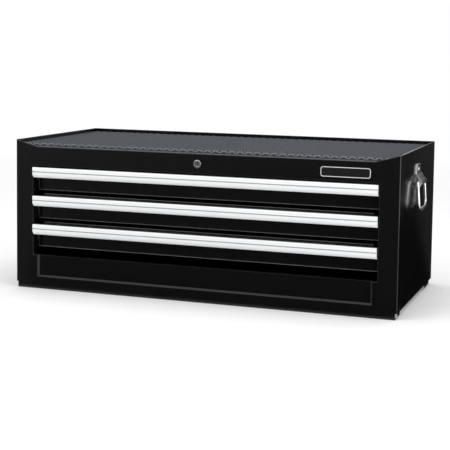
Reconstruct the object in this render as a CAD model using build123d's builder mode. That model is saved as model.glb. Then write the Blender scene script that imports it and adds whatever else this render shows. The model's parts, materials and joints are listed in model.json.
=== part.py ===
from build123d import *
import math
import os

# Three-drawer intermediate tool chest of folded sheet steel, in millimetres.
# It faces -Y, +X is to its right, and the origin is on the ground under the middle of its box.

# Case
case_width = 667.0
case_depth = 311.0  # front face to rear face
sheet = 1.2  # steel of the case
bend_radius = 2.0  # outside radius of the folds in the case
edge_radius = 1.0  # rounding of the edges round the drawer opening
fit = 0.2  # clearance between pieces of the case
overrun = 1.0  # how far a cutter stands out of what it cuts
skirt_drop = 10.0  # ground to the bottom edges of the case sides
skirt_inset = 3.5  # ends of the front skirt, inside the case sides
rear_skirt_inset = 4.0
foot_flange = 10.0  # flange that the skirts stand on
corner_wrap = 22.0  # front frame's fold along each side
corner_lap = 14.0  # side panel's strip behind that fold
seam = 0.15
rear_flange = 16.0
rim_hem = 9.0  # height of the closed hems along the rims
floor_ledge = 12.0  # side panel's flange under the bottom panel
upstand_gap = 1.1  # floor's upstands, below the embossed panel
tab_drop = 5.5  # nesting tabs below the case sides
front_tab_setback = 8.0  # front face to the front tab
front_tab_length = 12.0
rear_tab_setback = 36.0  # rear face to the rear tab
rear_tab_length = 30.0

# Front frame
stile_width = 32.5
opening_return = 14.0
lower_rail_top = 58.0  # ground to the sill of the drawer opening
top_rail_height = 32.6
rail_dip = 11.5  # rims above the middle of the top rail
ramp_length = 41.0
emboss_margin = 8.0  # sides of the drawer opening to the embossed panel
emboss_bottom = 20.5
emboss_depth = 4.0
emboss_slope = 2.5  # run of the sloped walls round the embossed panel

# Back panel and tray
back_emboss = 3.0
back_emboss_margin = 60.0
tray_flange = 12.0
tray_lip = 4.0
mat_thickness = 6.0
mat_setback = 8.0
mat_margin = 1.0  # mat inside the hems of the rims

# Drawers
drawer_count = 3
drawer_sheet = 1.0
drawer_bend = 2.0
front_height = 41.3
drawer_gap = 7.9
sill_gap = 12.3
head_gap = 2.3
side_gap = 1.5  # drawer front and pull, inside the stiles
face_recess = 18.0  # drawer face behind the case's front face
face_flange = 12.0
pan_drop = 6.3  # top of a drawer's front to the edge of its pan
pan_front_rise = 1.8  # front wall of the pan, above the top of the drawer's front
liner_thickness = 2.0
liner_margin = 1.0
rear_space = 22.0  # drawer backs to the back panel

# Aluminium pull
pull_height = 17.8
pull_proud = 5.5
pull_round = 2.0
groove_drop = 7.7
groove_width = 2.2
groove_depth = 1.4
pull_hook = 1.6  # foot of the pull, behind the drawer's lip
pull_foot = 1.6  # its thickness
curl_share = 0.25  # how far the lower half has curled back at its middle

# Ball-bearing slides
slide_depth = 13.0
slide_steel = 1.2
slide_bend = 2.0
rail_pass = 1.0  # drawer rail inside the stiles
case_rail_height = 20.0
case_rail_lip = 10.0
drawer_rail_stop = 4.0  # drawer rail's flanges, short of the post
rail_setback = 1.0  # rails behind the drawer's front
ball_radius = 1.6
race_fit = 0.2  # ball to each of its rails
ball_inset = 7.0  # ball centres from the post
cage_steel = 0.8
cage_inset = 1.8
cage_reach = 9.4
cage_bend = 1.2
cage_length = 63.6
cage_rows = 4
cage_end = 6.3  # end of the cage to its first ball
post_width = 24.0
post_foot = 8.0
front_post_gap = 4.0  # side panel's corner strip to the front post's foot
rear_post_setback = 40.0
post_headroom = 6.0

# Lock
lock_drop = 16.3  # dip of the top rail to the lock's axis
bezel_radius = 6.7
bezel_thickness = 1.8
barrel_radius = 5.4
barrel_length = 25.0
plug_radius = 4.0
plug_fit = 0.15
plug_recess = 0.8
plug_tail = 1.5
key_slot_width = 1.4
key_slot_height = 6.0
key_slot_depth = 9.0
nut_radius = 10.0
nut_thickness = 3.5
cam_thickness = 2.0
cam_radius = 6.5
crank_radius = 6.0
crank_start = -45.0  # degrees from +X at rest
pin_radius = 2.0
pin_boss = 4.0
pin_length = 5.0
screw_radius = 2.0
screw_head_radius = 3.2
screw_head_height = 1.4
screw_length = 8.0

# Lock bar
bar_x = 13.0
bar_thickness = 3.0
bar_height = 14.0
bar_top = 1.0  # above the lock's axis
bar_tab_gap = 2.0  # cam to the bar's front tab
bar_tab = 2.0
slot_clearance = 0.4
slot_play = 0.6
tab_border = 3.5
run_gap = 1.5  # drawer lugs to the upright run
lug_reach = 11.0
lug_width = 22.0
lug_rim = 2.5
tooth_width = 8.0
tooth_thickness = 3.0
tooth_clearance = 1.5
tooth_drop = 2.0
arm_drop = 9.5
arm_height = 6.0
guide_play = 0.4
guide_wall = 4.0
guide_height = 12.0
guide_drop = 26.0  # drawer lug to the top of the guide below it
run_tail = 4.0

# Drop handles
handle_setback = 146.0  # case's front face to the middle of the handle
pivot_drop = 54.5  # rim to the pivot
pivot_offset = 6.0  # case side to the pivot
bracket_steel = 2.0
bracket_rise = 29.0
bracket_fall = 12.0
bracket_top_width = 26.0
bracket_width = 50.0
bracket_round = 3.0
shoulder_rise = 15.0
shoulder_sink = 0.05  # shoulder's edge, inside the barrel's surface
barrel_outer = 5.5
rod_radius = 3.0
rod_fit = 0.3
bail_gap = 2.0  # ends of the barrel to the bends of the bail
bail_drop = 44.0
bail_lean = 4.0  # degrees that the hanging bail stands off the case
bail_round = 12.0
bail_shoulder = 5.0
pin_reach = 13.0
handle_rivet_shank = 2.0  # radius
handle_rivet_head = 3.5  # radius
handle_rivet_dome = 1.8  # height
rivet_top_drop = 8.0  # bracket's top edge to its top rivet
rivet_foot_rise = 4.6
rivet_foot_span = 36.0

# Rivets of the back panel and the blank plate
back_rivet_shank = 1.6  # radius
back_rivet_head = 3.0  # radius
back_rivet_dome = 1.2  # height
back_rivet_rows = 5
back_rivet_margin = 22.0  # bottom edge of the case to the lowest row
back_rivet_headroom = 8.0  # tray's flange to the highest row
rivet_fit = 0.05
tail_height = 1.2
tail_spread = 0.8  # tail beyond its shank
plate_width = 80.0
plate_height = 16.0
plate_thickness = 1.0
plate_round = 4.0
plate_rim = 1.2
plate_pocket = 0.4  # depth of the field inside the rim
plate_inset = 86.5  # right side of the case to the middle of the plate
plate_drop = 18.0  # dip of the top rail to the middle of the plate

# Places that follow from the sizes
half_width = case_width / 2
front_y = (pull_proud - case_depth - back_rivet_dome) / 2
back_y = front_y + case_depth
wrap_end = front_y + corner_wrap
lap_end = wrap_end + corner_lap
open_half = half_width - stile_width
drawer_pitch = front_height + drawer_gap
opening_top = lower_rail_top + sill_gap + drawer_count * drawer_pitch - drawer_gap + head_gap
tray_level = opening_top + top_rail_height
rim_height = tray_level + rail_dip
back_inner = back_y - 2 * sheet - back_emboss
floor_top = skirt_drop + 2 * sheet
upstand_top = emboss_bottom - sheet - upstand_gap
face_y = front_y + face_recess
pan_front = face_y + drawer_sheet
pan_back = back_inner - rear_space
rail_front = pan_front + rail_setback
drawer_travel = pan_back - rail_front - cage_length
front_half = open_half - side_gap
lip_drop = pull_height - pull_foot - fit
pan_half = open_half - rail_pass - slide_depth + drawer_rail_stop
post_x = pan_half + slide_depth
race_top = case_rail_height / 2 - slide_steel
race_foot = race_top - 2 * (ball_radius + race_fit)
race_middle = (race_top + race_foot) / 2
lock_z = tray_level - lock_drop
cam_y = front_y + barrel_length + plug_tail
bar_tab_y = cam_y + cam_thickness + bar_tab_gap
run_y = pan_back + lug_reach + run_gap
handle_y = front_y + handle_setback
pivot_z = rim_height - pivot_drop
pivot_x = half_width + pivot_offset
plate_x = half_width - plate_inset
bracket_top = pivot_z + bracket_rise
bracket_foot = pivot_z - bracket_fall
bail_half = bracket_width / 2 + bail_gap + bail_shoulder

os.makedirs("parts", exist_ok=True)


def level(z):
    """A horizontal plane at height z."""
    return Plane.XY.offset(z)


def upright(y):
    """A vertical plane across the chest at depth y, facing the front."""
    return Plane.XZ.offset(-y)


def across(x):
    """A vertical plane from front to back at x, facing right."""
    return Plane.YZ.offset(x)


def slab(xs, ys, zs, mode=Mode.ADD):
    """Adds or cuts a block between two values on each axis."""
    middle = ((xs[0] + xs[1]) / 2, (ys[0] + ys[1]) / 2, (zs[0] + zs[1]) / 2)
    with Locations(middle):
        Box(xs[1] - xs[0], ys[1] - ys[0], zs[1] - zs[0], mode=mode)


def mirrored(half):
    """The two ends of a span that is centred on the chest."""
    return (-half, half)


def fold(plane, points, thickness, radius, side):
    """Section of a sheet that is folded along points and thickened to one side of them."""
    with BuildSketch(plane) as section:
        with BuildLine():
            FilletPolyline(*points, radius=radius)
            offset(amount=thickness, side=side)
        make_face()
    return section.sketch


def rivet(shank, head, head_height, grip):
    """A rivet along Z: its head stands on the level z = 0, its tail is set below the grip."""
    dome_radius = (head**2 + head_height**2) / (2 * head_height)
    tail = shank + tail_spread
    body = shank - rivet_fit
    with BuildPart() as piece:
        with BuildSketch(Plane.XZ):
            with BuildLine():
                Line((0, head_height), (0, -grip - tail_height))
                Polyline((0, -grip - tail_height), (tail, -grip - tail_height), (tail, -grip))
                Polyline((tail, -grip), (body, -grip), (body, 0), (head, 0))
                RadiusArc((head, 0), (0, head_height), -dome_radius)
            make_face()
        revolve(axis=Axis.Z)
    return piece.part


def save(part, name):
    """Labels a finished piece and writes it under its name."""
    part.label = name
    export_step(part, f"parts/{name}.step")


# Points on the handles and the back panel that take rivets, as places on planes
handle_rivets_at = [
    (handle_y, bracket_top - rivet_top_drop),
    (handle_y - rivet_foot_span / 2, bracket_foot + rivet_foot_rise),
    (handle_y + rivet_foot_span / 2, bracket_foot + rivet_foot_rise),
]
back_rivet_x = half_width - rear_flange / 2
back_rivet_low = skirt_drop + back_rivet_margin
back_rivet_high = tray_level - tray_flange - back_rivet_headroom
back_rivet_step = (back_rivet_high - back_rivet_low) / (back_rivet_rows - 1)
back_rivets_at = [
    (side * back_rivet_x, back_rivet_low + row * back_rivet_step)
    for side in (-1, 1)
    for row in range(back_rivet_rows)
]


# Front frame: face with folded corners, drawer opening, embossed lower rail and skirt
emboss_half = open_half - emboss_margin
emboss_taper = math.degrees(math.atan(emboss_slope / emboss_depth))
dip_half = half_width - ramp_length


def sloped_panel(half, bottom, depth, mode):
    """Adds or cuts the embossed panel, whose walls slope inwards and which is open towards the drawers."""
    top = lower_rail_top + 2 * emboss_slope
    with BuildSketch(upright(front_y)) as outline:
        with Locations((0, (bottom + top) / 2)):
            Rectangle(2 * half, top - bottom)
    extrude(outline.sketch, amount=-depth, taper=emboss_taper, mode=mode)


with BuildPart() as front_frame:
    corners = [
        (-half_width, wrap_end),
        (-half_width, front_y),
        (half_width, front_y),
        (half_width, wrap_end),
    ]
    extrude(fold(level(skirt_drop), corners, sheet, bend_radius, Side.LEFT), amount=rim_height - skirt_drop)
    with BuildSketch(upright(front_y - overrun)):
        with BuildLine():
            Polyline(
                (-half_width, rim_height),
                (-dip_half, tray_level),
                (dip_half, tray_level),
                (half_width, rim_height),
                close=True,
            )
        make_face()
    extrude(amount=-overrun - bend_radius, mode=Mode.SUBTRACT)
    sloped_panel(emboss_half + sheet, emboss_bottom - sheet, emboss_depth + sheet, Mode.ADD)
    slab(
        mirrored(open_half + sheet),
        (front_y, front_y + opening_return),
        (lower_rail_top - sheet, opening_top + sheet),
    )
    slab(mirrored(half_width - skirt_inset), (front_y, front_y + sheet), (0, skirt_drop))
    slab(mirrored(half_width - skirt_inset), (front_y, front_y + foot_flange), (0, sheet))
    slab(
        mirrored(open_half),
        (front_y - overrun, front_y + opening_return + overrun),
        (lower_rail_top, opening_top),
        mode=Mode.SUBTRACT,
    )
    sloped_panel(emboss_half, emboss_bottom, emboss_depth, Mode.SUBTRACT)
    for side in (-1, 1):
        tab_x = sorted((side * half_width, side * (half_width - sheet)))
        tab_front = front_y + front_tab_setback
        slab(tab_x, (tab_front, tab_front + front_tab_length), (skirt_drop - tab_drop, skirt_drop))
    face = faces().filter_by(Axis.Y).group_by(Axis.Y)[0].sort_by(SortBy.AREA)[-1]
    opening_edges = face.inner_wires().sort_by(SortBy.LENGTH)[-1].edges()
    fillet(opening_edges, radius=edge_radius)
    with BuildSketch(upright(front_y)):
        with Locations((0, lock_z)):
            Circle(barrel_radius + fit)
    extrude(amount=-sheet, mode=Mode.SUBTRACT)
save(front_frame.part, "front_frame")


# Side panels: rear fold, hem along the rim, ledge for the floor, strip behind the front frame's fold
with BuildPart() as right_side_panel:
    side_front = wrap_end + seam
    corners = [(half_width, side_front), (half_width, back_y), (half_width - rear_flange, back_y)]
    extrude(fold(level(skirt_drop), corners, sheet, bend_radius, Side.LEFT), amount=rim_height - skirt_drop)
    slab(
        (half_width - 2 * sheet, half_width - sheet),
        (wrap_end - corner_lap, lap_end),
        (floor_top, rim_height - sheet),
    )
    slab(
        (half_width - 2 * sheet, half_width - sheet),
        (side_front, back_y - 2 * sheet),
        (rim_height - rim_hem, rim_height),
    )
    slab(
        (half_width - floor_ledge, half_width - sheet),
        (lap_end, back_y - 2 * sheet),
        (skirt_drop, skirt_drop + sheet),
    )
    slab(
        (half_width - sheet, half_width),
        (back_y - rear_tab_setback - rear_tab_length, back_y - rear_tab_setback),
        (skirt_drop - tab_drop, skirt_drop),
    )
    with BuildSketch(across(half_width)):
        with Locations(*handle_rivets_at):
            Circle(handle_rivet_shank)
    extrude(amount=-sheet, mode=Mode.SUBTRACT)
    with BuildSketch(upright(back_y)):
        with Locations(*back_rivets_at):
            Circle(back_rivet_shank)
    extrude(amount=sheet, mode=Mode.SUBTRACT)
save(right_side_panel.part, "right_side_panel")

with BuildPart() as left_side_panel:
    mirror(right_side_panel.part, about=Plane.YZ)
save(left_side_panel.part, "left_side_panel")


# Back panel: rim hem, inward emboss, skirt with a foot
back_span = (back_y - 2 * sheet, back_y - sheet)
with BuildPart() as back_panel:
    slab(mirrored(half_width - bend_radius - fit), back_span, (skirt_drop, rim_height))
    slab(mirrored(half_width - rear_skirt_inset), back_span, (0, skirt_drop))
    slab(
        mirrored(half_width - rear_skirt_inset),
        (back_y - sheet - foot_flange, back_y - sheet),
        (0, sheet),
    )
    slab(
        mirrored(half_width - 2 * sheet - fit),
        (back_y - 3 * sheet, back_y - 2 * sheet),
        (rim_height - rim_hem, rim_height),
    )
    back_half = half_width - back_emboss_margin
    back_zs = (skirt_drop + back_emboss_margin, rim_height - back_emboss_margin)
    slab(mirrored(back_half), (back_inner, back_y - sheet), back_zs)
    slab(
        mirrored(back_half - sheet),
        (back_inner + sheet, back_y),
        (back_zs[0] + sheet, back_zs[1] - sheet),
        mode=Mode.SUBTRACT,
    )
    with BuildSketch(upright(back_y)):
        with Locations(*back_rivets_at):
            Circle(back_rivet_shank)
    extrude(amount=2 * sheet, mode=Mode.SUBTRACT)
save(back_panel.part, "back_panel")

with BuildPart() as back_rivets:
    stud = rivet(back_rivet_shank, back_rivet_head, back_rivet_dome, 2 * sheet)
    with Locations(*[Plane((x, back_y, z), z_dir=(0, 1, 0)).location for x, z in back_rivets_at]):
        add(stud)
save(back_rivets.part, "back_rivets")


# Bottom panel: floor with upstands behind the front frame and before the back panel
inner_half = half_width - 2 * sheet - fit
with BuildPart() as bottom_panel:
    slab(mirrored(inner_half), (front_y + sheet, back_y - 2 * sheet), (skirt_drop + sheet, floor_top))
    upstand = (skirt_drop + sheet, upstand_top)
    slab(mirrored(inner_half), (front_y + sheet, front_y + 2 * sheet), upstand)
    slab(mirrored(inner_half), (back_y - 3 * sheet, back_y - 2 * sheet), upstand)
save(bottom_panel.part, "bottom_panel")


# Top tray and its mat
with BuildPart() as top_tray:
    slab(mirrored(inner_half), (front_y + sheet, back_y - 2 * sheet), (tray_level - sheet, tray_level))
    down = (tray_level - tray_flange, tray_level)
    for side in (-1, 1):
        flange_x = sorted((side * inner_half, side * (inner_half - sheet)))
        slab(flange_x, (wrap_end, back_y - 2 * sheet), down)
    slab(mirrored(inner_half), (back_y - 3 * sheet, back_y - 2 * sheet), down)
    slab(mirrored(inner_half), (front_y + sheet, front_y + 2 * sheet), (tray_level - tray_lip, tray_level))
save(top_tray.part, "top_tray")

with BuildPart() as top_mat:
    mat_y = (front_y + mat_setback, back_y - 3 * sheet - mat_margin)
    mat_half = half_width - 2 * sheet - mat_margin
    slab(mirrored(mat_half), mat_y, (tray_level, tray_level + mat_thickness))
save(top_mat.part, "top_mat")


# Blank plate on the top rail
with BuildPart() as name_plate:
    with BuildSketch(upright(front_y)):
        with Locations((plate_x, tray_level - plate_drop)):
            RectangleRounded(plate_width, plate_height, plate_round)
    extrude(amount=plate_thickness)
    with BuildSketch(upright(front_y - plate_thickness)):
        with Locations((plate_x, tray_level - plate_drop)):
            field_width = plate_width - 2 * plate_rim
            field_height = plate_height - 2 * plate_rim
            RectangleRounded(field_width, field_height, plate_round - plate_rim)
    extrude(amount=-plate_pocket, mode=Mode.SUBTRACT)
save(name_plate.part, "name_plate")


# Slide posts: hat sections on the side panels, standing on the floor
def slide_post(middle_y):
    """A post on the right side, centred at depth middle_y."""
    wall = half_width - sheet
    web = post_x + sheet
    low = middle_y - post_width / 2
    high = middle_y + post_width / 2
    points = [
        (wall, low - post_foot),
        (wall, low),
        (web, low),
        (web, high),
        (wall, high),
        (wall, high + post_foot),
    ]
    with BuildPart() as post:
        section = fold(level(floor_top), points, sheet, bend_radius, Side.LEFT)
        extrude(section, amount=opening_top + post_headroom - floor_top)
    return post.part


post_places = {
    "front": lap_end + front_post_gap + post_foot + post_width / 2,
    "rear": back_y - rear_post_setback - post_width / 2,
}
for place, middle_y in post_places.items():
    right_post = slide_post(middle_y)
    save(right_post, f"right_{place}_post")
    save(right_post.mirror(Plane.YZ), f"left_{place}_post")


# Lock: cylinder, nut, plug with its cam and screw
def turned(y_front, y_back, radius, mode=Mode.ADD):
    """A round length on the lock's axis between two depths."""
    with BuildSketch(upright(y_front)) as disc:
        with Locations((0, lock_z)):
            Circle(radius)
    extrude(disc.sketch, amount=y_front - y_back, mode=mode)


with BuildPart() as lock_cylinder:
    turned(front_y - bezel_thickness, front_y, bezel_radius)
    turned(front_y, front_y + barrel_length, barrel_radius)
    turned(front_y - bezel_thickness, front_y + barrel_length, plug_radius + plug_fit, mode=Mode.SUBTRACT)
    fillet(faces().sort_by(Axis.Y)[0].outer_wire().edges(), radius=bezel_thickness / 2)
save(lock_cylinder.part, "lock_cylinder")

with BuildPart() as lock_nut:
    with BuildSketch(upright(front_y + sheet)):
        with Locations((0, lock_z)):
            RegularPolygon(nut_radius, 6)
            Circle(barrel_radius + fit / 2, mode=Mode.SUBTRACT)
    extrude(amount=-nut_thickness)
save(lock_nut.part, "lock_nut")

plug_front = front_y - bezel_thickness + plug_recess
with BuildPart() as lock_plug:
    turned(plug_front, cam_y, plug_radius)
    with BuildSketch(upright(plug_front)):
        with Locations((0, lock_z)):
            Rectangle(key_slot_width, key_slot_height)
    extrude(amount=-key_slot_depth, mode=Mode.SUBTRACT)
    turned(cam_y - screw_length, cam_y, screw_radius + plug_fit, mode=Mode.SUBTRACT)
save(lock_plug.part, "lock_plug")

crank_angle = math.radians(crank_start)
crank_x = crank_radius * math.cos(crank_angle)
crank_z = lock_z + crank_radius * math.sin(crank_angle)
with BuildPart() as lock_cam:
    with BuildSketch(upright(cam_y)):
        with Locations((0, lock_z)):
            Circle(cam_radius)
        with Locations((crank_x, crank_z)):
            Circle(pin_boss)
    extrude(amount=-cam_thickness)
    with BuildSketch(upright(cam_y + cam_thickness)):
        with Locations((crank_x, crank_z)):
            Circle(pin_radius)
    extrude(amount=-pin_length)
    turned(cam_y, cam_y + cam_thickness, screw_radius + plug_fit, mode=Mode.SUBTRACT)
save(lock_cam.part, "lock_cam")

with BuildPart() as cam_screw:
    cam_back = cam_y + cam_thickness
    turned(cam_back - screw_length, cam_back, screw_radius)
    turned(cam_back, cam_back + screw_head_height, screw_head_radius)
save(cam_screw.part, "cam_screw")


# Heights of one drawer, counted from the top
def front_top(index):
    """Top edge of a drawer's front."""
    return opening_top - head_gap - index * drawer_pitch


def pan_floor(index):
    """Underside of a drawer's pan."""
    return front_top(index) - front_height + drawer_sheet


def pan_top(index):
    """Top edge of a drawer's pan."""
    return front_top(index) - pan_drop


def lug_foot(index):
    """Underside of the lug that locks a drawer."""
    return pan_top(index) - drawer_sheet


def slide_axis(index):
    """Middle height of a drawer's slides."""
    return (pan_floor(index) + pan_top(index)) / 2


# Lock bar: slotted tab at the cam, level run to the back, upright run with a tooth for each drawer
bar_zs = (lock_z + bar_top - bar_height, lock_z + bar_top)
run_zs = (lug_foot(drawer_count - 1) - arm_drop - arm_height - run_tail, bar_zs[1])
run_half = bar_height / 2
slot_xs = (crank_x - pin_radius - slot_play, crank_radius + pin_radius + slot_play)
with BuildPart() as lock_bar:
    tab_xs = (slot_xs[0] - tab_border, bar_x + bar_thickness / 2)
    tab_zs = (crank_z - pin_radius - tab_border, crank_z + pin_radius + tab_border)
    slab(tab_xs, (bar_tab_y, bar_tab_y + bar_tab), tab_zs)
    slab(
        slot_xs,
        (bar_tab_y - overrun, bar_tab_y + bar_tab + overrun),
        (crank_z - pin_radius - slot_clearance, crank_z + pin_radius + slot_clearance),
        mode=Mode.SUBTRACT,
    )
    slab(
        (bar_x - bar_thickness / 2, bar_x + bar_thickness / 2),
        (bar_tab_y, run_y + bar_thickness),
        bar_zs,
    )
    slab((bar_x - run_half, bar_x + run_half), (run_y, run_y + bar_thickness), run_zs)
    tooth_y = pan_back + lug_rim + tooth_clearance
    for index in range(drawer_count):
        lug = lug_foot(index)
        tooth_xs = (bar_x - tooth_width / 2, bar_x + tooth_width / 2)
        slab(tooth_xs, (tooth_y, run_y), (lug - arm_drop - arm_height, lug - arm_drop))
        slab(tooth_xs, (tooth_y, tooth_y + tooth_thickness), (lug - arm_drop, lug - tooth_drop))
save(lock_bar.part, "lock_bar")

# Guides on the back panel, one between each two drawers
with BuildPart() as lock_bar_guides:
    for index in range(drawer_count - 1):
        guide_high = lug_foot(index) - guide_drop
        guide_zs = (guide_high - guide_height, guide_high)
        inner = run_half + guide_play
        slab(
            (bar_x - inner - guide_wall, bar_x + inner + guide_wall),
            (run_y - guide_play - sheet, back_inner),
            guide_zs,
        )
        slab(
            (bar_x - inner, bar_x + inner),
            (run_y - guide_play, run_y + bar_thickness + guide_play),
            guide_zs,
            mode=Mode.SUBTRACT,
        )
        slab(
            (bar_x - run_half / 2, bar_x + run_half / 2),
            (run_y - guide_play - sheet, run_y),
            guide_zs,
            mode=Mode.SUBTRACT,
        )
save(lock_bar_guides.part, "lock_bar_guides")


# Drawers
def drawer_pan(index):
    """Folded pan with a higher front wall and the lug that the lock's tooth enters."""
    low = pan_floor(index)
    high = pan_top(index)
    with BuildPart() as pan:
        slab(mirrored(pan_half), (pan_front, pan_back), (low, high))
        fillet(edges().group_by(Axis.Z)[0], radius=drawer_bend)
        slab(
            mirrored(pan_half - drawer_sheet),
            (pan_front + drawer_sheet, pan_back - drawer_sheet),
            (low + drawer_sheet, high + overrun),
            mode=Mode.SUBTRACT,
        )
        wall = (pan_front, pan_front + drawer_sheet)
        slab(mirrored(pan_half - drawer_bend), wall, (high, front_top(index) + pan_front_rise))
        lug_zs = (lug_foot(index), high)
        slab((bar_x - lug_width / 2, bar_x + lug_width / 2), (pan_back, pan_back + lug_reach), lug_zs)
        hole_half = tooth_width / 2 + tooth_clearance
        slab(
            (bar_x - hole_half, bar_x + hole_half),
            (pan_back + lug_rim, pan_back + lug_rim + tooth_thickness + 2 * tooth_clearance),
            lug_zs,
            mode=Mode.SUBTRACT,
        )
    return pan.part


def drawer_front(index):
    """Recessed face with a flange below, and a ledge above that folds down into the lip."""
    high = front_top(index)
    low = high - front_height
    points = [
        (face_y + face_flange, low),
        (face_y, low),
        (face_y, high - drawer_sheet),
        (front_y + drawer_sheet, high - drawer_sheet),
        (front_y + drawer_sheet, high - lip_drop),
    ]
    with BuildPart() as front:
        section = fold(across(-front_half), points, drawer_sheet, drawer_bend, Side.RIGHT)
        extrude(section, amount=2 * front_half)
    return front.part


def drawer_pull(index):
    """Aluminium pull on the lip: rounded top, groove, and a lower half that curls under the lip."""
    high = front_top(index)
    low = high - pull_height
    groove = high - groove_drop
    nose = front_y - pull_proud
    hook = front_y + drawer_sheet + pull_hook
    lip_end = high - lip_drop - fit
    with BuildPart() as pull:
        with BuildSketch(across(-front_half)):
            with BuildLine():
                Line((front_y, high - drawer_bend), (front_y - pull_proud / 2, high))
                Line((front_y - pull_proud / 2, high), (nose + pull_round, high))
                RadiusArc((nose + pull_round, high), (nose, high - pull_round), -pull_round)
                Line((nose, high - pull_round), (nose, groove + groove_width / 2))
                Polyline(
                    (nose, groove + groove_width / 2),
                    (nose + groove_depth, groove),
                    (nose, groove - groove_width / 2),
                )
                ThreePointArc(
                    (nose, groove - groove_width / 2),
                    (nose + pull_proud * curl_share, (groove + low) / 2 - groove_width / 2),
                    (front_y, low),
                )
                Polyline((front_y, low), (hook, low), (hook, lip_end), (front_y, lip_end))
                Line((front_y, lip_end), (front_y, high - drawer_bend))
            make_face()
        extrude(amount=2 * front_half)
    return pull.part


def drawer_liner(index):
    """Thin liner on the pan's floor."""
    low = pan_floor(index) + drawer_sheet
    with BuildPart() as liner:
        slab(
            mirrored(pan_half - drawer_sheet - liner_margin),
            (pan_front + drawer_sheet + liner_margin, pan_back - drawer_sheet - liner_margin),
            (low, low + liner_thickness),
        )
    return liner.part


# Slides of the right side
def case_rail(axis):
    """Channel on the posts, open to the drawer."""
    half = case_rail_height / 2
    lip = post_x - case_rail_lip
    points = [(lip, axis + half), (post_x, axis + half), (post_x, axis - half), (lip, axis - half)]
    with BuildPart() as rail:
        section = fold(upright(rail_front), points, slide_steel, slide_bend, Side.RIGHT)
        extrude(section, amount=rail_front - pan_back)
    return rail.part


def drawer_rail(axis):
    """Channel on the drawer's side, inside the case rail."""
    edge = post_x - drawer_rail_stop
    points = [
        (edge, axis + race_foot),
        (pan_half, axis + race_foot),
        (pan_half, axis - race_foot),
        (edge, axis - race_foot),
    ]
    with BuildPart() as rail:
        section = fold(upright(rail_front), points, slide_steel, slide_bend, Side.LEFT)
        extrude(section, amount=rail_front - pan_back)
    return rail.part


# Ball cages stand at the middle of the rails, and follow a drawer at half its travel
cage_front = rail_front + drawer_travel / 2
ball_pitch = (cage_length - 2 * cage_end) / (cage_rows - 1)
ball_rows = [cage_front + cage_end + row * ball_pitch for row in range(cage_rows)]


def ball_cage(axis):
    """Strip that carries the balls, above and below the drawer rail."""
    half = race_middle + cage_steel / 2
    web = post_x - cage_inset
    edge = post_x - cage_reach
    points = [(edge, axis + half), (web, axis + half), (web, axis - half), (edge, axis - half)]
    with BuildPart() as cage:
        section = fold(upright(cage_front), points, cage_steel, cage_bend, Side.RIGHT)
        extrude(section, amount=-cage_length)
        with BuildSketch(level(axis - half - overrun)):
            with Locations(*[(post_x - ball_inset, y) for y in ball_rows]):
                Circle(ball_radius + fit)
        extrude(amount=2 * half + 2 * overrun, mode=Mode.SUBTRACT)
    return cage.part


def slide_balls(axis):
    """All balls of one drawer."""
    with BuildPart() as balls:
        places = [
            (side * (post_x - ball_inset), y, axis + rise * race_middle)
            for side in (-1, 1)
            for y in ball_rows
            for rise in (-1, 1)
        ]
        with Locations(*places):
            Sphere(ball_radius)
    return balls.part


for index in range(drawer_count):
    drawer = f"drawer_{index + 1}"
    axis = slide_axis(index)
    save(drawer_pan(index), f"{drawer}_pan")
    save(drawer_front(index), f"{drawer}_front")
    save(drawer_pull(index), f"{drawer}_pull")
    save(drawer_liner(index), f"{drawer}_liner")
    save(slide_balls(axis), f"{drawer}_balls")
    for piece, make in (("case_rail", case_rail), ("drawer_rail", drawer_rail), ("ball_cage", ball_cage)):
        right_piece = make(axis)
        save(right_piece, f"{drawer}_right_{piece}")
        save(right_piece.mirror(Plane.YZ), f"{drawer}_left_{piece}")


# Drop handles
with BuildPart() as right_handle_bracket:
    with BuildSketch(across(half_width)):
        with BuildLine():
            top_half = bracket_top_width / 2
            foot_half = bracket_width / 2
            Polyline(
                (handle_y - top_half, bracket_top),
                (handle_y + top_half, bracket_top),
                (handle_y + foot_half, pivot_z),
                (handle_y + foot_half, bracket_foot),
                (handle_y - foot_half, bracket_foot),
                (handle_y - foot_half, pivot_z),
                close=True,
            )
        make_face()
        fillet(vertices(), radius=bracket_round)
    extrude(amount=bracket_steel)
    # Barrel for the bail's pins, with a shoulder that slopes up to the plate
    shoulder_edge = (barrel_outer - shoulder_sink) * math.sqrt(0.5)
    with BuildSketch(upright(handle_y + bracket_width / 2)):
        with BuildLine():
            Polyline(
                (half_width + bracket_steel / 2, pivot_z + shoulder_rise),
                (pivot_x + shoulder_edge, pivot_z + shoulder_edge),
                (pivot_x, pivot_z),
                (half_width + bracket_steel / 2, pivot_z),
                close=True,
            )
        make_face()
        with Locations((pivot_x, pivot_z)):
            Circle(barrel_outer)
            Circle(rod_radius + rod_fit, mode=Mode.SUBTRACT)
    extrude(amount=bracket_width)
    with BuildSketch(across(half_width)):
        with Locations(*handle_rivets_at):
            Circle(handle_rivet_shank)
    extrude(amount=bracket_steel, mode=Mode.SUBTRACT)
save(right_handle_bracket.part, "right_handle_bracket")

with BuildPart() as right_bail:
    lean = math.radians(bail_lean)
    hang = Plane((pivot_x, handle_y, pivot_z), x_dir=(0, 1, 0), z_dir=(math.cos(lean), 0, math.sin(lean)))
    with BuildLine(hang) as rod:
        FilletPolyline(
            (-pin_reach, 0),
            (-bail_half, 0),
            (-bail_half, -bail_drop),
            (bail_half, -bail_drop),
            (bail_half, 0),
            (pin_reach, 0),
            radius=[bail_shoulder, bail_round, bail_round, bail_shoulder],
        )
    with BuildSketch(Plane(rod.line @ 0, z_dir=rod.line % 0)):
        Circle(rod_radius)
    sweep()
save(right_bail.part, "right_bail")

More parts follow.
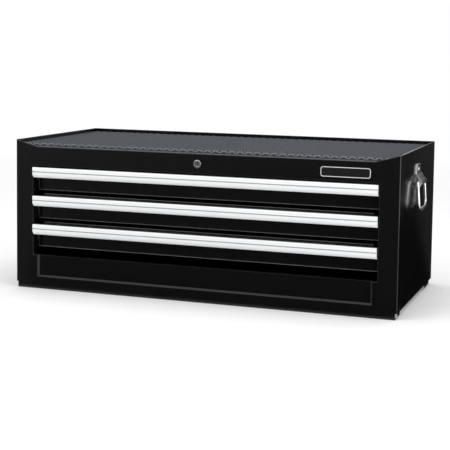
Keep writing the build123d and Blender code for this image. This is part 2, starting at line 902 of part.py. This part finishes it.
with BuildPart() as right_handle_rivets:
    stud = rivet(handle_rivet_shank, handle_rivet_head, handle_rivet_dome, bracket_steel + sheet)
    outer = half_width + bracket_steel
    with Locations(*[Plane((outer, y, z), z_dir=(1, 0, 0)).location for y, z in handle_rivets_at]):
        add(stud)
save(right_handle_rivets.part, "right_handle_rivets")

for piece, shape in (
    ("handle_bracket", right_handle_bracket.part),
    ("bail", right_bail.part),
    ("handle_rivets", right_handle_rivets.part),
):
    save(shape.mirror(Plane.YZ), f"left_{piece}")
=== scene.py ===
import json
import math

import bmesh
import bpy
from mathutils import Matrix, Vector


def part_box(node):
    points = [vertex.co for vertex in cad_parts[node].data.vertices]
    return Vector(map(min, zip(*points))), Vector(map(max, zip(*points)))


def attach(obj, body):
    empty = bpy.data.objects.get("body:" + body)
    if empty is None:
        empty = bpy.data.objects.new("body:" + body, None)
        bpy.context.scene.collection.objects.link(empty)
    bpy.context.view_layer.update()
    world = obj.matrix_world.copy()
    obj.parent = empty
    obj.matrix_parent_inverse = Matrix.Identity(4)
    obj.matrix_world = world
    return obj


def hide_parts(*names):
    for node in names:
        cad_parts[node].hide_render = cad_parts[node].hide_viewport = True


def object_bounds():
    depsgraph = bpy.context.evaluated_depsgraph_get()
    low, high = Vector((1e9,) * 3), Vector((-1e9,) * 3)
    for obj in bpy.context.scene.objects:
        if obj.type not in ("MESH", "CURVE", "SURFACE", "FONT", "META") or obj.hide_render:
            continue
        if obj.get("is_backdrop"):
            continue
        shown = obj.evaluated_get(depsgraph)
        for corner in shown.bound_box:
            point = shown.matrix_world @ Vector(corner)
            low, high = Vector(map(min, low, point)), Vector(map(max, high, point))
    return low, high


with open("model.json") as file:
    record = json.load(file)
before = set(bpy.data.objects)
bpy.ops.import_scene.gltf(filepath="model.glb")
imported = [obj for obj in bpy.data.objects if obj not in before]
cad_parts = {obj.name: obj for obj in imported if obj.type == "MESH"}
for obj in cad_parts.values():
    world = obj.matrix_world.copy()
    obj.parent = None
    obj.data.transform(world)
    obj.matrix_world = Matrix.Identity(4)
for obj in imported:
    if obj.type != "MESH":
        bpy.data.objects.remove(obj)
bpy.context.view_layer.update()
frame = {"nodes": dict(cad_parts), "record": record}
nodes = frame["nodes"]

# Camera, as the photograph shows the case: angles in degrees, lengths in metres, image sizes in pixels
VIEW_AZIMUTH = 19.476
VIEW_ELEVATION = 5.065
VIEW_ROLL = 0.733
IMAGE_SIZE = 450
FOCAL_PIXELS = 1169.6
OPTICAL_AXIS_ROW = 150  # row of the picture that the lens points at
SENSOR = 36.0  # millimetres
CASE_FOOT_RIGHT = -0.04780  # foot of the case's front, from the camera
CASE_FOOT_UP = -0.24062
CASE_FOOT_AHEAD = 1.92177
SKIRT_DROP = 0.010  # ground to the foot of the case's front

# Stage
FLOOR_SIZE = 8.0
FLOOR_COLOUR = (0.96, 0.96, 0.96, 1)
FLOOR_FADE = (1.0, 2.6)  # from the chest, where the floor begins and ends to run into the white surround
AMBIENT = 0.88
CARD_LENGTH = 1.3  # in front and behind
CARD_HEIGHT = 0.3
FRONT_CARD_MIDDLE = -0.05
CARD_GAP = 0.01  # foot of the dark cards, from the chest
CARD_LEAN = 20.0  # degrees, outwards
SIDE_CARD_GAP = 0.002
SIDE_CARD_LEAN = 12.0
SIDE_CARD_LENGTH = 0.6
LOW_CARD_HEIGHT = 0.15  # cards that begin at the front corners, below the handles
BLACK_CARD = (0.03, 0.03, 0.03, 1)
GRADED_CARD = ((0.34, 0.34, 0.34, 1), (0.10, 0.10, 0.10, 1))  # left end, right end
GRADED_REACH = (-0.5, 0.4)  # ends of the grading, from the middle of the card
LAMPS = (  # name, place, target, width, height, watts
    ("key", (-1.1, -1.7, 1.5), (0, 0, 0.12), 1.2, 1.0, 10),
    ("top", (0.0, 0.1, 1.9), (0, 0, 0.2), 1.4, 0.9, 6),
    ("strip", (1.5, -0.75, 0.45), (0.33, -0.15, 0.13), 0.3, 0.9, 9),
)

# Paint
BLACK = (0.0028, 0.0028, 0.0030, 1)
FADED = 1.5  # colour of the lighter clouds in the paint, as a share of the black
# Painted highlights: lighter colour on the folds and edges of the front frame and the drawers, in place of
# the light that rounded folds catch
CASE_FOLD_HIGHLIGHT = (0.045, 0.045, 0.047, 1)
DRAWER_FOLD_HIGHLIGHT = (0.26, 0.26, 0.27, 1)
CASE_GLOSS = 0.4
SIDE_GLOSS = 0.8  # the sides mirror their handles
SHEET_EDGE = 0.0012  # rounding of the painted sheet's edges
RIVET_EDGE = 0.0004
FOLD_RANGE = (0.80, 0.97)  # largest part of a normal, from where a fold is full to where a face is flat
CASE_HIGHLIGHT_REACH = 0.0009  # how far from a fold the painted highlight reaches
DRAWER_HIGHLIGHT_REACH = 0.0022

# Pulls
GROOVE_SHADE_REACH = 0.003  # how far round about the AO looks, for the painted shade in the groove and hollows
PULL_EDGE = 0.0006
PULL_METAL = 0.2
PULL_GREYS = ((0.92, 0.93, 0.94, 1), (0.96, 0.97, 0.97, 1))
# colour of the painted shade in the pull's groove and hollows
PULL_GROOVE_SHADE = (0.30, 0.31, 0.32, 1)
DRAW_LINES = (3, 900, 900)  # fine across the pull, long along it

# Plating
PLATED_EDGE = 0.0005
STAINED = 0.88  # colour of the stains, as a share of the clean metal's

# Mat: diamond pads between crossing grooves
PAD_PITCH = 0.0142  # from pad to pad across the chest
GROOVE_FLOOR = 0.0006  # half widths, square to the groove
GROOVE_MOUTH = 0.0030
GROOVE_DEPTH = 0.0026
GROOVE_BRINK = 0.2  # share of the depth, from the top, that is as light as the pads, above the painted shade of the groove
MAT_EDGE = 0.0006
PAD_HIGHLIGHT_WIDTH = 0.0008  # width of the painted highlights on the edges
WALL_HIGHLIGHT_WIDTH = 0.0025
# colours of the painted highlights on the edges of the pads and of the mat's walls
PAD_HIGHLIGHT_COLOUR = (0.10, 0.105, 0.12, 1)
WALL_HIGHLIGHT_COLOUR = (0.48, 0.50, 0.53, 1)
PAD_GREYS = ((0.012, 0.014, 0.018, 1), (0.018, 0.021, 0.027, 1))
# the walls of the mat are a lighter copy of the pads' rubber, as painted light
WALL_LIT_GREYS = ((0.042, 0.045, 0.054, 1), (0.062, 0.066, 0.076, 1))
# colour of the painted shade on the groove's floor
GROOVE_SHADE_COLOUR = (0.006, 0.006, 0.007, 1)

# Liner: ribs from side to side of the drawer
RIB_PITCH = 0.005
RIB_DEPTH = 0.0007
RIB_STEPS = 6
LINER_GREYS = ((0.014, 0.014, 0.015, 1), (0.03, 0.03, 0.032, 1))

# Plate
PLATE_COLOURS = ((0.008, 0.008, 0.009, 1), (0.85, 0.85, 0.86, 1))  # field, rim
PLATE_STEP = (0.00005, 0.0002)  # depth behind the rim's front where the rim ends and the field begins
PLATE_GRAIN = (40, 900, 900)
PLATE_EDGE = 0.0003


def node_tree(name):
    """A new material, its node tree and its Principled shader."""
    material = bpy.data.materials.new(name)
    material.use_nodes = True
    tree = material.node_tree
    shader = tree.nodes["Principled BSDF"]
    return material, tree, shader


def link(tree, source, target):
    tree.links.new(source, target)


def fill(tree, socket, colour):
    """Give a socket a colour, either written out or from another node."""
    if isinstance(colour, tuple):
        socket.default_value = colour
    else:
        link(tree, colour, socket)


def coordinates(tree, scale=(1, 1, 1)):
    """Object coordinates in metres, stretched by scale."""
    texture = tree.nodes.new("ShaderNodeTexCoord")
    mapping = tree.nodes.new("ShaderNodeMapping")
    mapping.inputs["Scale"].default_value = scale
    link(tree, texture.outputs["Object"], mapping.inputs["Vector"])
    return mapping.outputs["Vector"]


def noise(tree, vector, scale, detail=2.0, roughness=0.5):
    texture = tree.nodes.new("ShaderNodeTexNoise")
    texture.inputs["Scale"].default_value = scale
    texture.inputs["Detail"].default_value = detail
    texture.inputs["Roughness"].default_value = roughness
    link(tree, vector, texture.inputs["Vector"])
    return texture.outputs["Fac"]


def spread(tree, value, low, high, start=0.0, end=1.0):
    """Value mapped from start..end to low..high."""
    ramp = tree.nodes.new("ShaderNodeMapRange")
    ramp.inputs["From Min"].default_value = start
    ramp.inputs["From Max"].default_value = end
    ramp.inputs["To Min"].default_value = low
    ramp.inputs["To Max"].default_value = high
    link(tree, value, ramp.inputs["Value"])
    return ramp.outputs["Result"]


def blend_colour(tree, factor, first, second):
    mix = tree.nodes.new("ShaderNodeMix")
    mix.data_type = "RGBA"
    fill(tree, mix.inputs["A"], first)
    fill(tree, mix.inputs["B"], second)
    link(tree, factor, mix.inputs["Factor"])
    return mix.outputs["Result"]


def part_along(tree, vector, axis):
    split = tree.nodes.new("ShaderNodeSeparateXYZ")
    link(tree, vector, split.inputs["Vector"])
    return split.outputs[axis]


def larger(tree, first, second):
    node = tree.nodes.new("ShaderNodeMath")
    node.operation = "MAXIMUM"
    link(tree, first, node.inputs[0])
    link(tree, second, node.inputs[1])
    return node.outputs["Value"]


def bump(tree, height, distance, strength=1.0, normal=None):
    node = tree.nodes.new("ShaderNodeBump")
    node.inputs["Distance"].default_value = distance
    node.inputs["Strength"].default_value = strength
    link(tree, height, node.inputs["Height"])
    if normal is not None:
        link(tree, normal, node.inputs["Normal"])
    return node.outputs["Normal"]


def rounded_normal(tree, radius):
    """Normals that round the sheet's edges."""
    node = tree.nodes.new("ShaderNodeBevel")
    node.samples = 6
    node.inputs["Radius"].default_value = radius
    return node.outputs["Normal"]


def fold_share(tree, reach):
    """1 on the folds, slopes and edges, 0 on the flat faces, which all lie square to the axes."""
    absolute = tree.nodes.new("ShaderNodeVectorMath")
    absolute.operation = "ABSOLUTE"
    link(tree, rounded_normal(tree, reach), absolute.inputs[0])
    largest = part_along(tree, absolute.outputs["Vector"], "X")
    for axis in ("Y", "Z"):
        largest = larger(tree, largest, part_along(tree, absolute.outputs["Vector"], axis))
    return spread(tree, largest, 1.0, 0.0, *FOLD_RANGE)


def powder_coat(name, edge, fold_highlight=None, reach=0.0, gloss=CASE_GLOSS):
    """Gloss black powder coat: orange peel, slightly uneven gloss, and, where given, a painted highlight on
    the folds.
    """
    material, tree, shader = node_tree(name)
    place = coordinates(tree)
    cloud = noise(tree, place, scale=9.0, detail=3.0)
    faded = tuple(FADED * c for c in BLACK[:3]) + (1,)
    colour = blend_colour(tree, cloud, BLACK, faded)
    # painted highlight on the folds and edges
    if fold_highlight is not None:
        colour = blend_colour(tree, fold_share(tree, reach), colour, fold_highlight)
    link(tree, colour, shader.inputs["Base Color"])
    haze = noise(tree, place, scale=60.0, detail=4.0)
    roughness = spread(tree, haze, low=0.12, high=0.18, start=0.3, end=0.7)
    link(tree, roughness, shader.inputs["Roughness"])
    shader.inputs["Specular IOR Level"].default_value = gloss
    peel = noise(tree, place, scale=420.0)
    relief = bump(tree, peel, distance=0.00001, strength=0.4, normal=rounded_normal(tree, edge))
    link(tree, relief, shader.inputs["Normal"])
    return material


def brushed_aluminium():
    """Anodised aluminium with fine draw lines along the pull and painted shade in its groove and hollows."""
    material, tree, shader = node_tree("pull_aluminium_look")
    shader.inputs["Metallic"].default_value = PULL_METAL
    lines = noise(tree, coordinates(tree, DRAW_LINES), scale=1.0, detail=3.0)
    clean = blend_colour(tree, lines, *PULL_GREYS)
    # Painted shade: the colour darkens where the AO finds the pull closed in, in its groove and at its foot
    painted_shade_ao = tree.nodes.new("ShaderNodeAmbientOcclusion")
    painted_shade_ao.samples = 8
    painted_shade_ao.only_local = True
    painted_shade_ao.inputs["Distance"].default_value = GROOVE_SHADE_REACH
    open_share = spread(tree, painted_shade_ao.outputs["AO"], low=0.0, high=1.0, start=0.45, end=0.9)
    link(tree, blend_colour(tree, open_share, PULL_GROOVE_SHADE, clean), shader.inputs["Base Color"])
    link(tree, spread(tree, lines, low=0.34, high=0.46), shader.inputs["Roughness"])
    relief = bump(tree, lines, distance=0.00003, strength=0.4, normal=rounded_normal(tree, PULL_EDGE))
    link(tree, relief, shader.inputs["Normal"])
    return material


def plated(name, colour, low, high, scale):
    """Bright plating, whose roughness runs unevenly from low to high."""
    material, tree, shader = node_tree(name)
    shader.inputs["Metallic"].default_value = 1.0
    place = coordinates(tree)
    stain = noise(tree, place, scale, detail=3.0)
    dull = tuple(STAINED * c for c in colour) + (1,)
    link(tree, blend_colour(tree, stain, colour + (1,), dull), shader.inputs["Base Color"])
    link(tree, spread(tree, stain, low, high, start=0.3, end=0.7), shader.inputs["Roughness"])
    relief = bump(tree, stain, distance=0.00002, strength=0.3, normal=rounded_normal(tree, PLATED_EDGE))
    link(tree, relief, shader.inputs["Normal"])
    return material


def mat_rubber(name, greys, edge_highlight, highlight_width, top=None):
    """Grey rubber with a fine grain and painted highlights on its edges. Given the level of the pads, what is
    lower is darkened as painted shade.
    """
    material, tree, shader = node_tree(name)
    place = coordinates(tree)
    cloud = noise(tree, place, scale=14.0, detail=4.0, roughness=0.6)
    pads = blend_colour(tree, cloud, *greys)
    # painted highlight on the edges
    colour = blend_colour(tree, fold_share(tree, highlight_width), pads, edge_highlight)
    # Painted shade: below the pads the colour darkens towards the groove's floor
    if top is not None:
        height = part_along(tree, place, "Z")
        brink = top - GROOVE_BRINK * GROOVE_DEPTH
        raised = spread(tree, height, low=0.0, high=1.0, start=top - GROOVE_DEPTH, end=brink)
        colour = blend_colour(tree, raised, GROOVE_SHADE_COLOUR, colour)
    link(tree, colour, shader.inputs["Base Color"])
    link(tree, spread(tree, cloud, low=0.6, high=0.75), shader.inputs["Roughness"])
    shader.inputs["Specular IOR Level"].default_value = 0.12
    grain = noise(tree, place, scale=1400.0)
    relief = bump(tree, grain, distance=0.0001, strength=0.5, normal=rounded_normal(tree, MAT_EDGE))
    link(tree, relief, shader.inputs["Normal"])
    return material


def liner_rubber():
    """Dark rubber with a fine grain."""
    material, tree, shader = node_tree("liner_rubber_look")
    place = coordinates(tree)
    cloud = noise(tree, place, scale=20.0, detail=4.0)
    link(tree, blend_colour(tree, cloud, *LINER_GREYS), shader.inputs["Base Color"])
    link(tree, spread(tree, cloud, low=0.55, high=0.7), shader.inputs["Roughness"])
    grain = noise(tree, place, scale=1600.0)
    link(tree, bump(tree, grain, distance=0.00008, strength=0.5), shader.inputs["Normal"])
    return material


def plate_finish(rim_front):
    """Bright rim, black field: the field lies deeper than the rim."""
    material, tree, shader = node_tree("plate_look")
    depth = part_along(tree, coordinates(tree), "Y")
    rim = spread(tree, depth, 1.0, 0.0, *(rim_front + step for step in PLATE_STEP))
    link(tree, blend_colour(tree, rim, *PLATE_COLOURS), shader.inputs["Base Color"])
    link(tree, spread(tree, rim, low=0.0, high=0.4), shader.inputs["Metallic"])
    grain = noise(tree, coordinates(tree, PLATE_GRAIN), scale=1.0)
    link(tree, spread(tree, grain, low=0.22, high=0.34), shader.inputs["Roughness"])
    relief = bump(tree, grain, distance=0.00003, strength=0.4, normal=rounded_normal(tree, PLATE_EDGE))
    link(tree, relief, shader.inputs["Normal"])
    return material


def finish_mesh(mesh, name):
    """A new object of that name with the mesh as its shape."""
    data = bpy.data.meshes.new(name)
    mesh.to_mesh(data)
    mesh.free()
    piece = bpy.data.objects.new(name, data)
    bpy.context.scene.collection.objects.link(piece)
    return piece


def pad_profile(distance, pitch):
    """Height of the mat across one set of grooves, 0 on the pads and 1 on the groove's floor."""
    off = abs((distance + pitch / 2) % pitch - pitch / 2)
    share = (GROOVE_MOUTH - off) / (GROOVE_MOUTH - GROOVE_FLOOR)
    return min(max(share, 0.0), 1.0)


def groove_lines(low, high, pitch):
    """Places of the edges of the grooves between low and high."""
    places = []
    for index in range(math.floor(low / pitch), math.ceil(high / pitch) + 1):
        for step in (-GROOVE_MOUTH, -GROOVE_FLOOR, GROOVE_FLOOR, GROOVE_MOUTH):
            places.append(index * pitch + step)
    return places


def build_mat():
    """Mat with diamond pads, cut off at its four sides."""
    low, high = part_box("top_mat")
    pitch = PAD_PITCH / math.sqrt(2)
    middle = (low + high) / 2
    reach = ((high.x - low.x) + (high.y - low.y)) / 2 / math.sqrt(2) + pitch
    lines = groove_lines(-reach, reach, pitch)
    mesh = bmesh.new()
    rows = []
    for along in lines:
        row = []
        for across in lines:
            x = (along + across) / math.sqrt(2)
            y = (along - across) / math.sqrt(2)
            sunk = max(pad_profile(along, pitch), pad_profile(across, pitch))
            row.append(mesh.verts.new((middle.x + x, middle.y + y, high.z - GROOVE_DEPTH * sunk)))
        rows.append(row)
    for first, second in zip(rows, rows[1:]):
        for a, b, c, d in zip(first, first[1:], second[1:], second):
            mesh.faces.new((a, d, c, b)).smooth = False
    for corner, outward in ((low, (-1, 0, 0)), (low, (0, -1, 0)), (high, (1, 0, 0)), (high, (0, 1, 0))):
        everything = mesh.verts[:] + mesh.edges[:] + mesh.faces[:]
        bmesh.ops.bisect_plane(
            mesh, geom=everything, dist=1e-6, plane_co=corner, plane_no=outward, clear_outer=True
        )
    rim = [edge for edge in mesh.edges if edge.is_boundary]
    walls = bmesh.ops.extrude_edge_only(mesh, edges=rim)["geom"]
    for item in walls:
        if isinstance(item, bmesh.types.BMVert):
            item.co.z = low.z
        if isinstance(item, bmesh.types.BMFace):
            item.material_index = 1
    foot = [edge for edge in mesh.edges if edge.is_boundary]
    bmesh.ops.contextual_create(mesh, geom=foot)
    bmesh.ops.recalc_face_normals(mesh, faces=mesh.faces[:])
    return finish_mesh(mesh, "ribbed_mat")


def build_liner(node, name):
    """Thin liner with round ribs from side to side."""
    low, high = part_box(node)
    count = round((high.y - low.y) / RIB_PITCH)
    mesh = bmesh.new()
    outline = [(low.y, low.z)]
    for index in range(count * RIB_STEPS + 1):
        share = index / (count * RIB_STEPS)
        wave = 0.5 - 0.5 * math.cos(2 * math.pi * count * share)
        outline.append((low.y + share * (high.y - low.y), high.z - RIB_DEPTH * (1 - wave)))
    outline.append((high.y, low.z))
    left = [mesh.verts.new((low.x, y, z)) for y, z in outline]
    right = [mesh.verts.new((high.x, y, z)) for y, z in outline]
    for a, b, c, d in zip(left, left[1:], right[1:], right):
        mesh.faces.new((a, b, c, d))
    mesh.faces.new((left[0], right[0], right[-1], left[-1]))
    mesh.faces.new(left)
    mesh.faces.new(right)
    bmesh.ops.recalc_face_normals(mesh, faces=mesh.faces[:])
    return finish_mesh(mesh, name)


def dress(node, look):
    materials = nodes[node].data.materials
    materials.clear()
    materials.append(look)


# Looks of the CAD nodes: for plating, colour, lowest and highest roughness, scale of the unevenness
slot_looks = {
    "case_paint": powder_coat("case_paint_look", SHEET_EDGE),
    "drawer_paint": powder_coat("drawer_paint_look", SHEET_EDGE, DRAWER_FOLD_HIGHLIGHT, DRAWER_HIGHLIGHT_REACH),
    "rivet_steel": powder_coat("rivet_paint_look", RIVET_EDGE),
    "pull_aluminium": brushed_aluminium(),
    "handle_chrome": plated("handle_chrome_look", (0.94, 0.94, 0.95), 0.28, 0.36, 60.0),
    "lock_chrome": plated("lock_chrome_look", (0.74, 0.74, 0.75), 0.10, 0.2, 300.0),
    "slide_zinc": plated("slide_zinc_look", (0.56, 0.57, 0.58), 0.25, 0.42, 90.0),
    "lock_steel": plated("lock_steel_look", (0.52, 0.52, 0.53), 0.28, 0.45, 90.0),
    "ball_steel": plated("ball_steel_look", (0.74, 0.74, 0.75), 0.05, 0.1, 200.0),
    "plate": plate_finish(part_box("name_plate")[0].y),
}
mat_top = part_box("top_mat")[1].z
mat_look = mat_rubber("mat_rubber_look", PAD_GREYS, PAD_HIGHLIGHT_COLOUR, PAD_HIGHLIGHT_WIDTH, mat_top)
# walls of the mat: painted light, a lighter copy of the pads' rubber
mat_wall_lit_look = mat_rubber("mat_wall_lit_look", WALL_LIT_GREYS, WALL_HIGHLIGHT_COLOUR, WALL_HIGHLIGHT_WIDTH)
liner_look = liner_rubber()
for subpart in frame["record"]["subparts"]:
    look = slot_looks.get(subpart["material_slot"])
    if look is not None:
        dress(subpart["node"], look)
side_paint = powder_coat("side_paint_look", SHEET_EDGE, gloss=SIDE_GLOSS)
own_looks = {
    "lock_plug": plated("lock_plug_look", (0.60, 0.60, 0.61), 0.2, 0.3, 300.0),
    "left_side_panel": side_paint,
    "right_side_panel": side_paint,
    "front_frame": powder_coat("front_paint_look", SHEET_EDGE, CASE_FOLD_HIGHLIGHT, CASE_HIGHLIGHT_REACH),
}
for node, look in own_looks.items():
    dress(node, look)

mat = build_mat()
mat.data.materials.append(mat_look)
mat.data.materials.append(mat_wall_lit_look)
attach(mat, "cabinet")
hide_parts("top_mat")

for number in (1, 2, 3):
    liner = build_liner(f"drawer_{number}_liner", f"drawer_{number}_ribbed_liner")
    liner.data.materials.append(liner_look)
    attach(liner, f"drawer_{number}")
    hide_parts(f"drawer_{number}_liner")


# Stage: floor, dark cards, lights, camera
def stage_plane(name, size_x, size_y):
    """A plain sheet, lying with its middle in the origin."""
    mesh = bmesh.new()
    bmesh.ops.create_grid(mesh, x_segments=1, y_segments=1, size=0.5)
    bmesh.ops.scale(mesh, vec=(size_x, size_y, 1), verts=mesh.verts[:])
    plane = finish_mesh(mesh, name)
    plane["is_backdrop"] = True
    return plane


def floor_paper():
    """White paper that runs out into the white surround at a distance."""
    material, tree, shader = node_tree("floor_look")
    shader.inputs["Base Color"].default_value = FLOOR_COLOUR
    shader.inputs["Roughness"].default_value = 0.9
    shader.inputs["Specular IOR Level"].default_value = 0.05
    distance = tree.nodes.new("ShaderNodeVectorMath")
    distance.operation = "LENGTH"
    link(tree, coordinates(tree), distance.inputs[0])
    surround = tree.nodes.new("ShaderNodeBsdfTransparent")
    mix = tree.nodes.new("ShaderNodeMixShader")
    fade = spread(tree, distance.outputs["Value"], 0.0, 1.0, *FLOOR_FADE)
    link(tree, fade, mix.inputs["Fac"])
    link(tree, shader.outputs["BSDF"], mix.inputs[1])
    link(tree, surround.outputs["BSDF"], mix.inputs[2])
    link(tree, mix.outputs["Shader"], tree.nodes["Material Output"].inputs["Surface"])
    return material


def dull_card(name):
    """Material, node tree and shader of a card without gloss."""
    material, tree, shader = node_tree(name)
    shader.inputs["Roughness"].default_value = 1.0
    shader.inputs["Specular IOR Level"].default_value = 0.0
    return material, tree, shader


def black_paper():
    material, _, shader = dull_card("black_card_look")
    shader.inputs["Base Color"].default_value = BLACK_CARD
    return material


def graded_paper():
    """Grey card that darkens from its left end to its right end."""
    material, tree, shader = dull_card("graded_card_look")
    share = spread(tree, part_along(tree, coordinates(tree), "X"), 0.0, 1.0, *GRADED_REACH)
    link(tree, blend_colour(tree, share, *GRADED_CARD), shader.inputs["Base Color"])
    return material


def dark_card(name, size, foot, turn, lean, material):
    """Card on its foot, leaning away from the chest, which only the gloss of the paint and the metal sees."""
    card = stage_plane(name, *size)
    card.data.transform(Matrix.Translation((0, size[1] / 2, 0)))
    card.data.materials.append(material)
    card.rotation_euler = (math.radians(90 + lean), 0, math.radians(turn))
    card.location = foot
    card.visible_camera = False
    card.visible_diffuse = False
    card.visible_shadow = False
    card.visible_transmission = False


floor = stage_plane("floor", FLOOR_SIZE, FLOOR_SIZE)
floor.data.materials.append(floor_paper())

case_low, case_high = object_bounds()
plain_dark = black_paper()
long_card = (CARD_LENGTH, CARD_HEIGHT)
tall_card = (SIDE_CARD_LENGTH, CARD_HEIGHT)
low_card = (-case_low.y, LOW_CARD_HEIGHT)
front_place = (FRONT_CARD_MIDDLE, case_low.y - CARD_GAP, 0)
rear_place = (0, case_high.y + CARD_GAP, 0)
dark_card("front_card", long_card, front_place, 0, CARD_LEAN, graded_paper())
dark_card("rear_card", long_card, rear_place, 180, CARD_LEAN, plain_dark)
side_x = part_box("right_side_panel")[1].x + SIDE_CARD_GAP
for side, x in ((-1, -side_x), (1, side_x)):
    tall_place = (x, tall_card[0] / 2, 0)
    low_place = (x, -low_card[0] / 2, 0)
    dark_card(f"side_card_{side}", tall_card, tall_place, 90 * side, SIDE_CARD_LEAN, plain_dark)
    dark_card(f"low_card_{side}", low_card, low_place, 90 * side, SIDE_CARD_LEAN, plain_dark)

world = bpy.data.worlds.new("studio")
bpy.context.scene.world = world
world.use_nodes = True
sky = world.node_tree
background = sky.nodes["Background"]
background.inputs["Color"].default_value = (1, 1, 1, 1)
rays = sky.nodes.new("ShaderNodeLightPath")
seen = rays.outputs["Is Camera Ray"]
for kind in ("Is Glossy Ray", "Is Transmission Ray"):
    seen = larger(sky, seen, rays.outputs[kind])
link(sky, spread(sky, seen, AMBIENT, 1.0), background.inputs["Strength"])


def softbox(name, place, target, width, height, power):
    light = bpy.data.lights.new(name, "AREA")
    light.shape = "RECTANGLE"
    light.size = width
    light.size_y = height
    light.energy = power
    lamp = bpy.data.objects.new(name, light)
    bpy.context.scene.collection.objects.link(lamp)
    lamp.location = place
    lamp.rotation_euler = (Vector(target) - Vector(place)).to_track_quat("-Z", "Y").to_euler()


for lamp_values in LAMPS:
    softbox(*lamp_values)


def aim_camera():
    """Camera whose place and lens follow from where the photograph shows the foot of the case's front."""
    azimuth = math.radians(VIEW_AZIMUTH)
    elevation = math.radians(VIEW_ELEVATION)
    roll = math.radians(VIEW_ROLL)
    ahead = Vector((
        -math.sin(azimuth) * math.cos(elevation),
        math.cos(azimuth) * math.cos(elevation),
        -math.sin(elevation),
    ))
    level_right = ahead.cross(Vector((0, 0, 1))).normalized()
    level_up = level_right.cross(ahead)
    right = math.cos(roll) * level_right + math.sin(roll) * level_up
    up = math.cos(roll) * level_up - math.sin(roll) * level_right
    front_foot = Vector((0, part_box("front_frame")[0].y, SKIRT_DROP))
    place = front_foot - CASE_FOOT_RIGHT * right - CASE_FOOT_UP * up - CASE_FOOT_AHEAD * ahead
    data = bpy.data.cameras.new("camera")
    data.sensor_width = SENSOR
    data.lens = FOCAL_PIXELS / IMAGE_SIZE * SENSOR
    data.shift_y = (OPTICAL_AXIS_ROW - IMAGE_SIZE / 2) / IMAGE_SIZE
    data.clip_end = 50
    camera = bpy.data.objects.new("camera", data)
    bpy.context.scene.collection.objects.link(camera)
    turn = Matrix((right, up, -ahead)).transposed().to_4x4()
    camera.matrix_world = Matrix.Translation(place) @ turn
    bpy.context.scene.camera = camera


aim_camera()
bpy.context.scene.view_settings.view_transform = "Standard"
